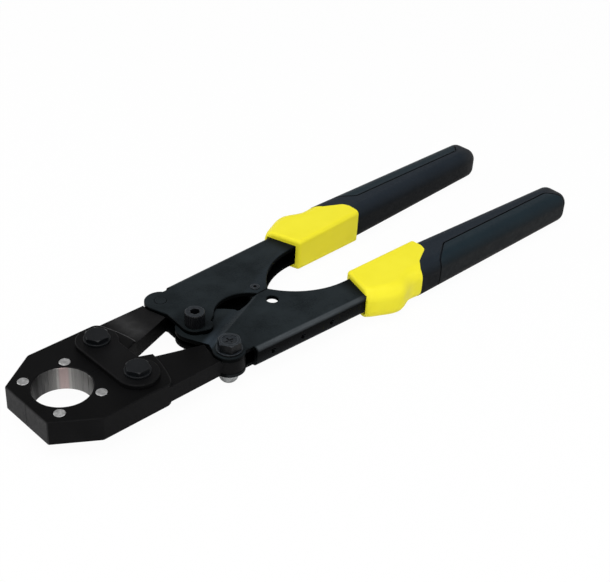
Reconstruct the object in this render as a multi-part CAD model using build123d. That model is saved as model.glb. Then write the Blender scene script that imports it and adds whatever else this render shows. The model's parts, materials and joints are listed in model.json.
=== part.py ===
from build123d import *
import math
import os

# PEX crimp tool: two jaws on a pair of link plates, closed by two channel levers on one centre screw.
# Millimetres. The origin is the centre of the crimp bore, half way up the jaws. +X runs from the head
# to the grips, +Y to the user's right and +Z up. The tool is drawn closed.
# Shapes are drawn for the right side, and the left side is their mirror image.

# Pivot centres, for the right side
LINK_PIVOT = (32.6, 16.7)
TAIL_PIVOT = (81.8, 28.0)
CENTRE_PIVOT = (82.4, 0.0)
BOLT_RADIUS = 3.2
RUNNING_FIT = 0.05
FIXED_FIT = 0.02

# Travel, in degrees: each jaw on the link plates, and each lever on its jaw
JAW_TURN = 16.5
LEVER_TURN = 80.0

# Jaws
BORE_RADIUS = 15.0
BORE_CHAMFER = 0.5
JAW_HALF_HEIGHT = 6.9
JAW_FRONT_X = -20.8
JAW_FRONT_HALF_WIDTH = 17.6
JAW_SHOULDER_X = 1.0
JAW_HALF_WIDTH = 31.5
JAW_BACK_X = 49.8
JAW_BACK_RADIUS = 70.0
JAW_CORNER_RADIUS = 1.2
JAW_SHOULDER_RADIUS = 3.0
JAW_BACK_CORNER_RADIUS = 5.0
JAW_EDGE_ROUND = 0.8
SPLIT_GAP = 0.15
FLARE_START_X = 33.2
FLARE_KNEE = (49.9, 7.2)
FLARE_END = (75.5, 15.7)
TAIL_HALF_HEIGHT = 4.7
TAIL_STEP_GAP = 0.7
EYE_RADIUS = 8.5
EYE_NECK_ANGLE = 222.0
EYE_SIDE_GAP = 0.2
DIE_PIN_RADIUS = 3.0
DIE_PIN_WALL = 1.5
DIE_PIN_ANGLE = 52.0
PIN_CHAMFER = 0.3

# Link plates
PLATE_THICKNESS = 2.6
PLATE_GAP = 0.15
PLATE_END_RADIUS = 11.0
PLATE_REAR_X = 40.3
PLATE_REAR_ROUND = 2.0
PLATE_EDGE_CHAMFER = 0.4

# Fasteners
HEX_ACROSS_FLATS = 11.1
HEX_CHAMFER_WIDTH = 0.8
HEX_CHAMFER_HEIGHT = 0.45
LINK_HEAD_HEIGHT = 2.3
LINK_NUT_HEIGHT = 4.0
LINK_WASHER_RADIUS = 6.8
LINK_WASHER_HEIGHT = 1.4
CENTRE_HEAD_RADIUS = 5.4
CENTRE_HEAD_HEIGHT = 7.9
CENTRE_HEAD_CHAMFER = 0.45
CENTRE_SOCKET_ACROSS_FLATS = 4.8
CENTRE_SOCKET_DEPTH = 4.0
KNURL_COUNT = 26
KNURL_GROOVE_RADIUS = 0.3
CENTRE_WASHER_RADIUS = 6.8
CENTRE_NUT_HEIGHT = 7.0
TAIL_HEAD_HEIGHT = 5.0
TAIL_WASHER_RADIUS = 7.0
TAIL_NUT_HEX_HEIGHT = 2.6
TAIL_DOME_RADIUS = 5.2
TAIL_DOME_HEIGHT = 5.4
TAIL_DOME_ROUND = 4.3
TAIL_THREAD_LENGTH = 5.0
THIN_WASHER_HEIGHT = 1.0
WASHER_EDGE_ROUND = 0.25
NUT_COLLAR_RADIUS = 5.1
NUT_COLLAR_HEIGHT = 2.2
NUT_COLLAR_ROUND = 1.2
DISH_RADIUS = 4.2
DISH_DEPTH = 0.5
CROSS_LENGTH = 4.6
CROSS_WIDTH = 1.1
CROSS_DEPTH = 1.2

# Levers, folded from sheet: a web on the outer side and two flanges
LEVER_HALF_HEIGHT = 6.0
SHEET = 2.3
BEND_RADIUS = 3.3
BEND_STRIP = 5.0
ARM_TILT = 2.2
SHEET_EDGE_CHAMFER = 0.35
LUG_RADIUS = 8.7
ARM_WIDTH = 18.8
WEB_START = 11.5
RELIEF_DEPTH = 3.0
RIGHT_KNEE = (76.8, 15.5)
LEFT_KNEE = (78.5, 16.0)
NOSE_RADIUS = 7.0
NOSE_LOBE = (85.6, -3.2)
NOSE_LOBE_RADIUS = 5.2
THROAT_AT = 88.2
THROAT_RADIUS = 44.5
LENS_X = 111.0
LENS_RADIUS = 19.5
RIGHT_LENS_DEPTH = 7.9
LEFT_LENS_DEPTH = 3.9
WEB_HOLE_RADIUS = 1.6
WEB_HOLE_FIRST = 22.5
WEB_HOLE_PITCH = 20.5
WEB_HOLE_COUNT = 3
HANG_HOLE = (129.0, 9.0)
HANG_HOLE_RADIUS = 3.3
RIVET = (129.4, 5.4)
RIVET_RADIUS = 2.0
RIVET_HEAD_RADIUS = 2.7
RIVET_HEAD_HEIGHT = 0.5
RIVET_HEAD_ROUND = 0.4
RIVET_HOLE_RADIUS = 1.1
RIVET_HOLE_DEPTH = 2.0
SPACER_RADIUS = 4.6
SPACER_END_GAP = 0.05

# The left lever steps down one sheet to lap under the right one round the centre screw
LAP_GAP = 0.1
JOGGLE_LEAN = 22.8
JOGGLE_FOOT = 12.8
JOGGLE_UPPER_RUN = 4.8
JOGGLE_LOWER_RUN = 3.5
JOGGLE_SHEAR = 0.6
LAP_RADIUS = 10.3
LAP_BACK = [(99.5, -7.5), (105.1, -3.2), (109.2, 1.2), (109.8, 5.6)]
SLOT_GAP = 0.4
SLOT_STEPS = 10

# The channel is necked down just in front of the grip, and its tang ends inside the grip
NECK_LEAD = 0.5
NECK_INSET = 2.7
NECK_WIDTH = 13.0
NECK_OVERLAP = 1.0
TANG_COVER = 19.2

# Collars, measured along the arm from their front and outward from the lever's web.
# A sleeve of rounded sections swells on its outer side to a finger guard. Plan lines trim it in front
# and behind, and the rear ones are given from the grip's front, which the collar laps.
COLLAR_AT = 90.6
SLEEVE_START = -6.0
SLEEVE_STEPS = 11
SLEEVE_START_HALF_HEIGHT = 9.6
SLEEVE_END_HALF_HEIGHT = 11.0
GUARD_FOOT = (-9.0, 1.2)
GUARD_PEAK = (17.5, 9.4)
GUARD_HEEL = (30.0, 4.9)
COLLAR_INNER_WALL = 2.8
COLLAR_OUTER_CORNER_RADIUS = 7.5
COLLAR_INNER_CORNER_RADIUS = 2.5
COLLAR_FRONT = [(4.4, -25.5), (-5.3, 12.0)]
COLLAR_LAP = [(2.5, 12.0), (4.5, 2.0), (8.5, -3.0), (19.5, -9.5), (21.0, -13.5), (20.0, -25.5)]
SLEEVE_OVERRUN = 26.5
COLLAR_WAVE_RADIUS = 2.5
COLLAR_FRONT_ROUND = 2.2
COLLAR_FIT = 0.15

# Grips, in the same frame as the collars, and the inlays set into their outer sides, whose corners are
# given from the grip's front and end
GRIP_START = 33.5
GRIP_END = 175.5
GRIP_FRONT_OUTER = 4.8
GRIP_STEP = 0.3
GRIP_FRONT_HALF_HEIGHT = 10.8
GRIP_END_OUTER = 0.3
GRIP_END_INNER = -20.0
GRIP_END_HALF_HEIGHT = 9.9
GRIP_CORNER_RADIUS = 7.0
GRIP_END_ROUND = 6.7
GRIP_NECK_INSET = 1.9
GRIP_NECK_LENGTH = 24.0
GRIP_FIT = 0.1
INLAY_DEPTH = 1.8
INLAY_FRONT = [(20.5, 2.5), (34.0, -7.3)]
INLAY_BACK = [(-12.5, -10.0), (-5.5, -2.0)]
INLAY_CORNER_RADIUS = 3.5
INLAY_GROOVE = 0.9

FAR = 400.0

ARM = Pos(TAIL_PIVOT[0], TAIL_PIVOT[1], 0) * Rot(0, 0, ARM_TILT)
COLLAR = ARM * Pos(COLLAR_AT, LUG_RADIUS, 0)
FLANGE_INSIDE = LEVER_HALF_HEIGHT - SHEET
STEP_RADIUS = LUG_RADIUS + TAIL_STEP_GAP
NECK_AT = COLLAR_AT + GRIP_START - NECK_LEAD
TANG_END = COLLAR_AT + GRIP_END - TANG_COVER
SLEEVE_END = GRIP_START + SLEEVE_OVERRUN
COLLAR_INNER = -ARM_WIDTH - COLLAR_INNER_WALL
GRIP_FRONT_INNER = COLLAR_INNER + GRIP_STEP
PLATE_BOTTOM = JAW_HALF_HEIGHT + PLATE_GAP
PLATE_TOP = PLATE_BOTTOM + PLATE_THICKNESS


# Helpers

def mirrored(point):
    return (point[0], -point[1])


def turned(point, centre, degrees):
    """The point after a turn about the centre."""
    angle = math.radians(degrees)
    x = point[0] - centre[0]
    y = point[1] - centre[1]
    return (
        centre[0] + x * math.cos(angle) - y * math.sin(angle),
        centre[1] + x * math.sin(angle) + y * math.cos(angle),
    )


def touch_point(centre, radius, point, side):
    """Where a line from the point touches the circle: side 1 is counter-clockwise of it, -1 clockwise."""
    x = point[0] - centre[0]
    y = point[1] - centre[1]
    angle = math.atan2(y, x) + side * math.acos(radius / math.hypot(x, y))
    return (centre[0] + radius * math.cos(angle), centre[1] + radius * math.sin(angle))


def on_arm(along, out):
    """A plan point given along and out from the right arm, as seen from its tail pivot."""
    return turned((TAIL_PIVOT[0] + along, TAIL_PIVOT[1] + out), TAIL_PIVOT, ARM_TILT)


def outline(*points):
    return Polygon(*points, align=None)


def disc(centre, radius):
    return Pos(*centre) * Circle(radius)


def slab(sketch, low, high):
    """The plan sketch as a plate between two heights."""
    return Pos(0, 0, low) * extrude(sketch, amount=high - low, dir=(0, 0, 1))


def post(centre, radius, low, high):
    return slab(disc(centre, radius), low, high)


def top_edges(part):
    return part.edges().group_by(Axis.Z)[-1]


def bottom_edges(part):
    return part.edges().group_by(Axis.Z)[0]


def nearest_corners(sketch, *points):
    return [sketch.vertices().sort_by_distance((x, y, 0))[0] for x, y in points]


def hexagon(centre, low, high):
    """A hex prism with its upper corners turned off."""
    prism = slab(RegularPolygon(HEX_ACROSS_FLATS / 2, 6, major_radius=False), low, high)
    corner_radius = HEX_ACROSS_FLATS / math.sqrt(3)
    turned_blank = post((0, 0), corner_radius, low, high)
    turned_blank = chamfer(top_edges(turned_blank), HEX_CHAMFER_HEIGHT, HEX_CHAMFER_WIDTH)
    return Pos(*centre) * (prism & turned_blank)


def washer(centre, radius, low, height):
    ring = post(centre, radius, low, low + height)
    ring = fillet(top_edges(ring), WASHER_EDGE_ROUND)
    return ring - post(centre, BOLT_RADIUS + FIXED_FIT, -FAR, FAR)


def lock_nut(centre, top, height):
    """A hex nut below the given height, with a rounded collar at its lower end."""
    nut = post(centre, NUT_COLLAR_RADIUS, 0, height)
    nut = fillet(top_edges(nut), NUT_COLLAR_ROUND)
    nut += hexagon(centre, 0, height - NUT_COLLAR_HEIGHT)
    nut -= post(centre, BOLT_RADIUS + FIXED_FIT, -FAR, FAR)
    return Pos(0, 0, top) * mirror(nut, about=Plane.XY)


def dome_nut(centre, top):
    """A hex nut below the given height, closed by a dome, with a blind hole for the bolt."""
    nut = post(centre, TAIL_DOME_RADIUS, 0, TAIL_NUT_HEX_HEIGHT + TAIL_DOME_HEIGHT)
    nut = fillet(top_edges(nut), TAIL_DOME_ROUND)
    nut += hexagon(centre, 0, TAIL_NUT_HEX_HEIGHT)
    nut -= post(centre, BOLT_RADIUS + FIXED_FIT, -FAR, TAIL_THREAD_LENGTH + FIXED_FIT)
    return Pos(0, 0, top) * mirror(nut, about=Plane.XY)


# Jaws

def jaw_body():
    """The block round the bore, straight in front and at the sides, with a bulged back."""
    flare_slope = (FLARE_KNEE[1] - SPLIT_GAP) / (FLARE_KNEE[0] - FLARE_START_X)
    inner_back = (JAW_BACK_X, SPLIT_GAP + flare_slope * (JAW_BACK_X - FLARE_START_X))
    front_corner = (JAW_FRONT_X, JAW_FRONT_HALF_WIDTH)
    shoulder = (JAW_SHOULDER_X, JAW_HALF_WIDTH)
    back_centre_x = JAW_BACK_X - JAW_BACK_RADIUS
    back_corner = (back_centre_x + math.sqrt(JAW_BACK_RADIUS ** 2 - JAW_HALF_WIDTH ** 2), JAW_HALF_WIDTH)
    plan = outline(
        (JAW_FRONT_X, SPLIT_GAP), front_corner, shoulder, (JAW_BACK_X, JAW_HALF_WIDTH), inner_back,
        (FLARE_START_X, SPLIT_GAP))
    plan &= disc((back_centre_x, 0), JAW_BACK_RADIUS)
    plan = fillet(nearest_corners(plan, front_corner), JAW_CORNER_RADIUS)
    plan = fillet(nearest_corners(plan, shoulder), JAW_SHOULDER_RADIUS)
    plan = fillet(nearest_corners(plan, back_corner), JAW_BACK_CORNER_RADIUS)
    body = slab(plan, -JAW_HALF_HEIGHT, JAW_HALF_HEIGHT)
    rims = top_edges(body) + bottom_edges(body)
    body = fillet([edge for edge in rims if edge.center().Y > 2 * SPLIT_GAP], JAW_EDGE_ROUND)
    bore = post((0, 0), BORE_RADIUS, -JAW_HALF_HEIGHT, JAW_HALF_HEIGHT)
    mouth = Pos(0, 0, JAW_HALF_HEIGHT - BORE_CHAMFER / 2) * Cone(
        BORE_RADIUS, BORE_RADIUS + BORE_CHAMFER, BORE_CHAMFER)
    return body - bore - mouth - mirror(mouth, about=Plane.XY)


def jaw_tail():
    """The arm behind the body: thick first, then a thinner eye that goes between the lever's flanges."""
    flare = [(FLARE_START_X, SPLIT_GAP), FLARE_KNEE, FLARE_END]
    outer_front = (FLARE_START_X, JAW_HALF_WIDTH)
    outer_back = (TAIL_PIVOT[0], JAW_HALF_WIDTH)
    step = touch_point(TAIL_PIVOT, STEP_RADIUS, FLARE_END, -1)
    thick_plan = outline(*flare, step, outer_back, outer_front) - disc(TAIL_PIVOT, STEP_RADIUS)
    neck = turned((TAIL_PIVOT[0] + EYE_RADIUS, TAIL_PIVOT[1]), TAIL_PIVOT, EYE_NECK_ANGLE)
    thin_plan = outline(*flare, neck, TAIL_PIVOT, outer_back, outer_front) + disc(TAIL_PIVOT, EYE_RADIUS)
    eye_half_height = FLANGE_INSIDE - EYE_SIDE_GAP
    thick = slab(thick_plan, -TAIL_HALF_HEIGHT, TAIL_HALF_HEIGHT)
    return thick + slab(thin_plan, -eye_half_height, eye_half_height)


def die_pin_centres():
    """Beside the bore, with a thin wall left between."""
    reach = (BORE_RADIUS + DIE_PIN_WALL + DIE_PIN_RADIUS, 0)
    return [turned(reach, (0, 0), 180 - DIE_PIN_ANGLE), turned(reach, (0, 0), DIE_PIN_ANGLE)]


def jaw():
    whole = jaw_body() + jaw_tail()
    for centre in die_pin_centres():
        whole -= post(centre, DIE_PIN_RADIUS + FIXED_FIT, -FAR, FAR)
    for centre in (LINK_PIVOT, TAIL_PIVOT):
        whole -= post(centre, BOLT_RADIUS + RUNNING_FIT, -FAR, FAR)
    return whole


def die_pins():
    pins = Part()
    for centre in die_pin_centres():
        pin = post(centre, DIE_PIN_RADIUS, -JAW_HALF_HEIGHT, JAW_HALF_HEIGHT)
        pins += chamfer(top_edges(pin) + bottom_edges(pin), PIN_CHAMFER)
    return pins


# Link plates and their bolts

def link_centres():
    return [LINK_PIVOT, mirrored(LINK_PIVOT)]


def top_link_plate():
    """A plate across both jaws, round at the ends and hollowed to a straight rear edge between them."""
    hollow_x = PLATE_REAR_X + PLATE_REAR_ROUND
    hollow_drop = math.sqrt((PLATE_END_RADIUS + PLATE_REAR_ROUND) ** 2 - (hollow_x - LINK_PIVOT[0]) ** 2)
    hollow = (hollow_x, LINK_PIVOT[1] - hollow_drop)
    rear_angle = math.degrees(math.atan2(-hollow_drop, hollow_x - LINK_PIVOT[0]))
    end_start = (LINK_PIVOT[0] + PLATE_END_RADIUS, LINK_PIVOT[1])
    front = turned(end_start, LINK_PIVOT, 180)
    side = turned(end_start, LINK_PIVOT, 90)
    rear = turned(end_start, LINK_PIVOT, rear_angle)
    neck = (PLATE_REAR_X, hollow[1])
    bend = turned(neck, hollow, rear_angle / 2)
    plan = make_face([
        Line(mirrored(front), front),
        ThreePointArc(front, side, rear),
        ThreePointArc(rear, bend, neck),
        Line(neck, mirrored(neck)),
        ThreePointArc(mirrored(neck), mirrored(bend), mirrored(rear)),
        ThreePointArc(mirrored(rear), mirrored(side), mirrored(front)),
    ])
    plate = slab(plan, PLATE_BOTTOM, PLATE_TOP)
    plate = chamfer(top_edges(plate), PLATE_EDGE_CHAMFER)
    for centre in link_centres():
        plate -= post(centre, BOLT_RADIUS + FIXED_FIT, -FAR, FAR)
    return plate


def link_bolts():
    bolts = Part()
    head_bottom = PLATE_TOP + LINK_WASHER_HEIGHT
    shank_bottom = -PLATE_TOP - LINK_NUT_HEIGHT
    for centre in link_centres():
        bolt = hexagon(centre, head_bottom, head_bottom + LINK_HEAD_HEIGHT)
        bolts += bolt + post(centre, BOLT_RADIUS, shank_bottom, head_bottom)
    return bolts


def link_washers():
    washers = Part()
    for centre in link_centres():
        washers += washer(centre, LINK_WASHER_RADIUS, PLATE_TOP, LINK_WASHER_HEIGHT)
    return washers


def link_nuts():
    nuts = Part()
    for centre in link_centres():
        nut = hexagon(centre, 0, LINK_NUT_HEIGHT)
        nut -= post(centre, BOLT_RADIUS + FIXED_FIT, -FAR, FAR)
        nuts += Pos(0, 0, -PLATE_TOP) * mirror(nut, about=Plane.XY)
    return nuts


# Levers

def lens_centre(depth):
    """The levers leave a lens-shaped opening between them; this is the centre of one lever's arc."""
    return (LENS_X, depth - LENS_RADIUS)


def relief_plan():
    """The flange is cut back from its round lug to the start of the bend."""
    inner = LUG_RADIUS - RELIEF_DEPTH
    outer = LUG_RADIUS + RELIEF_DEPTH
    strip = outline(on_arm(0, inner), on_arm(WEB_START, inner), on_arm(WEB_START, outer), on_arm(0, outer))
    return strip - disc(TAIL_PIVOT, LUG_RADIUS)


def flange_plan(knee, lens_depth):
    """One flange from its lug and nose to the end of the tang, with a knee in its front edge."""
    arm_inside = LUG_RADIUS - ARM_WIDTH
    lens = lens_centre(lens_depth)
    lens_front = LENS_X - math.sqrt(LENS_RADIUS ** 2 - (SPLIT_GAP - lens[1]) ** 2)
    lens_corner = (lens_front, SPLIT_GAP)
    throat_top = on_arm(THROAT_AT, arm_inside)
    plan = outline(
        touch_point(TAIL_PIVOT, LUG_RADIUS, knee, -1),
        knee,
        touch_point(CENTRE_PIVOT, NOSE_RADIUS, knee, 1),
        touch_point(CENTRE_PIVOT, NOSE_RADIUS, lens_corner, -1),
        lens_corner,
        (throat_top[0], SPLIT_GAP),
        throat_top,
        on_arm(NECK_AT, arm_inside),
        on_arm(NECK_AT, LUG_RADIUS),
        on_arm(0, LUG_RADIUS),
    )
    plan += disc(TAIL_PIVOT, LUG_RADIUS)
    plan += disc(CENTRE_PIVOT, NOSE_RADIUS)
    plan -= disc(on_arm(THROAT_AT, arm_inside - THROAT_RADIUS), THROAT_RADIUS)
    plan -= disc(lens, LENS_RADIUS)
    plan -= relief_plan()
    return plan + tang_plan(0)


def tang_plan(clearance):
    """The necked part of the channel that goes into the grip."""
    outer = LUG_RADIUS - NECK_INSET + clearance
    inner = LUG_RADIUS - NECK_INSET - NECK_WIDTH - clearance
    start = NECK_AT - NECK_OVERLAP
    end = TANG_END + clearance
    return outline(on_arm(start, inner), on_arm(end, inner), on_arm(end, outer), on_arm(start, outer))


def strip_plan(start, end, outer):
    inner = outer - BEND_STRIP
    return outline(on_arm(start, inner), on_arm(end, inner), on_arm(end, outer), on_arm(start, outer))


def bent_strip(start, end, outer):
    """The folded edge of the channel: the web with its two bends and a little of each flange."""
    block = Pos(outer - BEND_STRIP / 2, 0) * Rectangle(BEND_STRIP, 2 * LEVER_HALF_HEIGHT)
    block = fillet(block.vertices().group_by(Axis.X)[-1], BEND_RADIUS)
    space = Pos(outer - SHEET - BEND_STRIP / 2, 0) * Rectangle(BEND_STRIP, 2 * FLANGE_INSIDE)
    space = fillet(space.vertices().group_by(Axis.X)[-1], BEND_RADIUS - SHEET)
    strip = extrude(Plane.YZ * (block - space), amount=end - start)
    return ARM * Pos(start, 0, 0) * strip


def web():
    """Both lengths of web, with the row of small holes."""
    whole = bent_strip(WEB_START, NECK_AT, LUG_RADIUS)
    whole += bent_strip(NECK_AT, TANG_END, LUG_RADIUS - NECK_INSET)
    for index in range(WEB_HOLE_COUNT):
        along = WEB_HOLE_FIRST + index * WEB_HOLE_PITCH
        whole -= ARM * Pos(along, LUG_RADIUS, 0) * Rot(90, 0, 0) * Cylinder(WEB_HOLE_RADIUS, 2 * BEND_STRIP)
    return whole


def flange_blank(plan, bottom):
    """The upper flange's plan as a plate, with its upper edges broken."""
    plate = slab(plan, bottom, LEVER_HALF_HEIGHT)
    return chamfer(top_edges(plate), SHEET_EDGE_CHAMFER)


def channel(flange):
    """Both flanges, the upper one given, with the bent web between them."""
    flange -= slab(strip_plan(WEB_START, NECK_AT, LUG_RADIUS), 0, FAR)
    flange -= slab(strip_plan(NECK_AT, TANG_END, LUG_RADIUS - NECK_INSET), 0, FAR)
    return flange + mirror(flange, about=Plane.XY) + web()


def right_lever():
    nose = disc(CENTRE_PIVOT, NOSE_RADIUS) + disc(NOSE_LOBE, NOSE_LOBE_RADIUS)
    plan = flange_plan(RIGHT_KNEE, RIGHT_LENS_DEPTH) + make_hull(nose.edges())
    plan -= disc(TAIL_PIVOT, BOLT_RADIUS + FIXED_FIT)
    plan -= disc(CENTRE_PIVOT, BOLT_RADIUS + FIXED_FIT)
    plan -= disc(RIVET, RIVET_RADIUS + FIXED_FIT)
    return channel(flange_blank(plan, FLANGE_INSIDE))


def screw_in_left_lever(share):
    """Where the centre screw stands in the left lever, drawn as a right one, at a share of the opening."""
    jaw_turn = share * JAW_TURN
    lever_turn = share * LEVER_TURN
    screw = turned(CENTRE_PIVOT, TAIL_PIVOT, lever_turn)
    screw = turned(screw, LINK_PIVOT, -jaw_turn)
    seen_from_left = mirrored(screw)
    seen_from_left = turned(seen_from_left, LINK_PIVOT, jaw_turn)
    return turned(seen_from_left, TAIL_PIVOT, -lever_turn)


def centre_slot():
    """Room for the screw's whole path, so that the two levers can be moved at a constant ratio."""
    radius = BOLT_RADIUS + SLOT_GAP
    slot = disc(CENTRE_PIVOT, radius)
    for step in range(SLOT_STEPS):
        start = screw_in_left_lever(step / SLOT_STEPS)
        end = screw_in_left_lever((step + 1) / SLOT_STEPS)
        middle = ((start[0] + end[0]) / 2, (start[1] + end[1]) / 2)
        length = math.dist(start, end)
        lean = math.degrees(math.atan2(end[1] - start[1], end[0] - start[0]))
        slot += Pos(*middle) * Rot(0, 0, lean) * SlotCenterToCenter(length, 2 * radius)
    return slot


def left_lap_plan():
    """The lowered tongue round the centre screw."""
    return disc(CENTRE_PIVOT, LAP_RADIUS) + outline(
        touch_point(CENTRE_PIVOT, LAP_RADIUS, LAP_BACK[0], -1),
        *LAP_BACK,
        LEFT_KNEE,
        touch_point(CENTRE_PIVOT, LAP_RADIUS, LEFT_KNEE, 1),
    )


def joggled_sheet():
    """Wide sheet at flange height that steps down one thickness towards the centre screw."""
    lap_top = FLANGE_INSIDE - LAP_GAP
    lap_bottom = lap_top - SHEET
    lower_start = JOGGLE_FOOT + JOGGLE_SHEAR
    profile = outline(
        (-FAR, lap_bottom), (lower_start, lap_bottom), (lower_start + JOGGLE_LOWER_RUN, FLANGE_INSIDE),
        (FAR, FLANGE_INSIDE), (FAR, LEVER_HALF_HEIGHT), (JOGGLE_FOOT + JOGGLE_UPPER_RUN, LEVER_HALF_HEIGHT),
        (JOGGLE_FOOT, lap_top), (-FAR, lap_top))
    lean = math.radians(JOGGLE_LEAN)
    across = (math.sin(lean), math.cos(lean), 0)
    along = (math.cos(lean), -math.sin(lean), 0)
    plane = Plane(origin=(CENTRE_PIVOT[0], CENTRE_PIVOT[1], 0), x_dir=across, z_dir=along)
    return extrude(plane * profile, amount=FAR, both=True)


def left_lever():
    plan = flange_plan(LEFT_KNEE, LEFT_LENS_DEPTH) + left_lap_plan()
    plan -= disc(TAIL_PIVOT, BOLT_RADIUS + FIXED_FIT)
    plan -= disc(HANG_HOLE, HANG_HOLE_RADIUS)
    flange = flange_blank(plan, 0) & joggled_sheet()
    return channel(flange - slab(centre_slot(), 0, FAR))


# Pivot fasteners

def centre_bolt():
    """A cap screw with a hex socket and a knurled head."""
    head_top = LEVER_HALF_HEIGHT + CENTRE_HEAD_HEIGHT
    head = post(CENTRE_PIVOT, CENTRE_HEAD_RADIUS, LEVER_HALF_HEIGHT, head_top)
    head = chamfer(top_edges(head), CENTRE_HEAD_CHAMFER)
    rim = (CENTRE_PIVOT[0] + CENTRE_HEAD_RADIUS, CENTRE_PIVOT[1])
    for index in range(KNURL_COUNT):
        groove = turned(rim, CENTRE_PIVOT, index * 360 / KNURL_COUNT)
        head -= post(groove, KNURL_GROOVE_RADIUS, LEVER_HALF_HEIGHT, head_top)
    socket = Pos(*CENTRE_PIVOT) * RegularPolygon(CENTRE_SOCKET_ACROSS_FLATS / 2, 6, major_radius=False)
    head -= slab(socket, head_top - CENTRE_SOCKET_DEPTH, head_top)
    shank_bottom = -LEVER_HALF_HEIGHT - THIN_WASHER_HEIGHT - CENTRE_NUT_HEIGHT
    return head + post(CENTRE_PIVOT, BOLT_RADIUS, shank_bottom, LEVER_HALF_HEIGHT)


def centre_washer():
    ring = washer(CENTRE_PIVOT, CENTRE_WASHER_RADIUS, 0, THIN_WASHER_HEIGHT)
    return Pos(0, 0, -LEVER_HALF_HEIGHT) * mirror(ring, about=Plane.XY)


def centre_nut():
    return lock_nut(CENTRE_PIVOT, -LEVER_HALF_HEIGHT - THIN_WASHER_HEIGHT, CENTRE_NUT_HEIGHT)


def right_tail_pin():
    """Flush with the lever at both ends."""
    return post(TAIL_PIVOT, BOLT_RADIUS, -LEVER_HALF_HEIGHT, LEVER_HALF_HEIGHT)


def left_tail_bolt():
    """A hex bolt with a dished head and a small cross in the dish."""
    head_bottom = LEVER_HALF_HEIGHT + THIN_WASHER_HEIGHT
    head_top = head_bottom + TAIL_HEAD_HEIGHT
    head = hexagon(TAIL_PIVOT, head_bottom, head_top)
    cross = Rectangle(CROSS_LENGTH, CROSS_WIDTH) + Rectangle(CROSS_WIDTH, CROSS_LENGTH)
    head -= post(TAIL_PIVOT, DISH_RADIUS, head_top - DISH_DEPTH, head_top)
    head -= slab(Pos(*TAIL_PIVOT) * cross, head_top - CROSS_DEPTH, head_top)
    return head + post(TAIL_PIVOT, BOLT_RADIUS, -LEVER_HALF_HEIGHT - TAIL_THREAD_LENGTH, head_bottom)


def left_tail_washer():
    return washer(TAIL_PIVOT, TAIL_WASHER_RADIUS, LEVER_HALF_HEIGHT, THIN_WASHER_HEIGHT)


def left_tail_nut():
    return dome_nut(TAIL_PIVOT, -LEVER_HALF_HEIGHT)


def right_lever_rivet():
    """Hollow at its upper end."""
    rivet = post(RIVET, RIVET_RADIUS, -LEVER_HALF_HEIGHT, LEVER_HALF_HEIGHT)
    head = post(RIVET, RIVET_HEAD_RADIUS, LEVER_HALF_HEIGHT, LEVER_HALF_HEIGHT + RIVET_HEAD_HEIGHT)
    head = fillet(top_edges(head), RIVET_HEAD_ROUND)
    rivet += head + mirror(head, about=Plane.XY)
    hole_bottom = LEVER_HALF_HEIGHT + RIVET_HEAD_HEIGHT - RIVET_HOLE_DEPTH
    return rivet - post(RIVET, RIVET_HOLE_RADIUS, hole_bottom, FAR)


def right_lever_spacer():
    half_height = FLANGE_INSIDE - SPACER_END_GAP
    tube = post(RIVET, SPACER_RADIUS, -half_height, half_height)
    return tube - post(RIVET, RIVET_RADIUS + FIXED_FIT, -half_height, half_height)


# Collars, grips and inlays, drawn along the right arm

def collar_plan():
    rear = [(GRIP_START + along, out) for along, out in COLLAR_LAP]
    plan = outline(*COLLAR_FRONT, *rear)
    return fillet(nearest_corners(plan, *rear[1:-1]), COLLAR_WAVE_RADIUS)


def collar_section(along):
    """One cross-section, drawn edge by edge so that all of them start at the same corner."""
    share = (along - SLEEVE_START) / (SLEEVE_END - SLEEVE_START)
    half_height = SLEEVE_START_HALF_HEIGHT + share * (SLEEVE_END_HALF_HEIGHT - SLEEVE_START_HALF_HEIGHT)
    foot = GUARD_FOOT if along < GUARD_PEAK[0] else GUARD_HEEL
    down = min(1, abs(along - GUARD_PEAK[0]) / abs(foot[0] - GUARD_PEAK[0]))
    outer = foot[1] + (GUARD_PEAK[1] - foot[1]) * (1 + math.cos(math.pi * down)) / 2
    large = COLLAR_OUTER_CORNER_RADIUS
    small = COLLAR_INNER_CORNER_RADIUS
    inner = COLLAR_INNER
    section = make_face([
        Line((inner + small, -half_height), (outer - large, -half_height)),
        CenterArc((outer - large, large - half_height), large, 270, 90),
        Line((outer, large - half_height), (outer, half_height - large)),
        CenterArc((outer - large, half_height - large), large, 0, 90),
        Line((outer - large, half_height), (inner + small, half_height)),
        CenterArc((inner + small, half_height - small), small, 90, 90),
        Line((inner, half_height - small), (inner, small - half_height)),
        CenterArc((inner + small, small - half_height), small, 180, 90),
    ])
    return Pos(along, 0, 0) * (Plane.YZ * section)


def collar_outside():
    """A sleeve with a finger guard swelling on its outer side, trimmed and rounded in front."""
    step = (SLEEVE_END - SLEEVE_START) / SLEEVE_STEPS
    sleeve = loft([collar_section(SLEEVE_START + index * step) for index in range(SLEEVE_STEPS + 1)])
    sleeve &= slab(collar_plan(), -FAR, FAR)
    front = sleeve.faces().sort_by(Axis.X)[0]
    return fillet(front.edges(), COLLAR_FRONT_ROUND)


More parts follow.
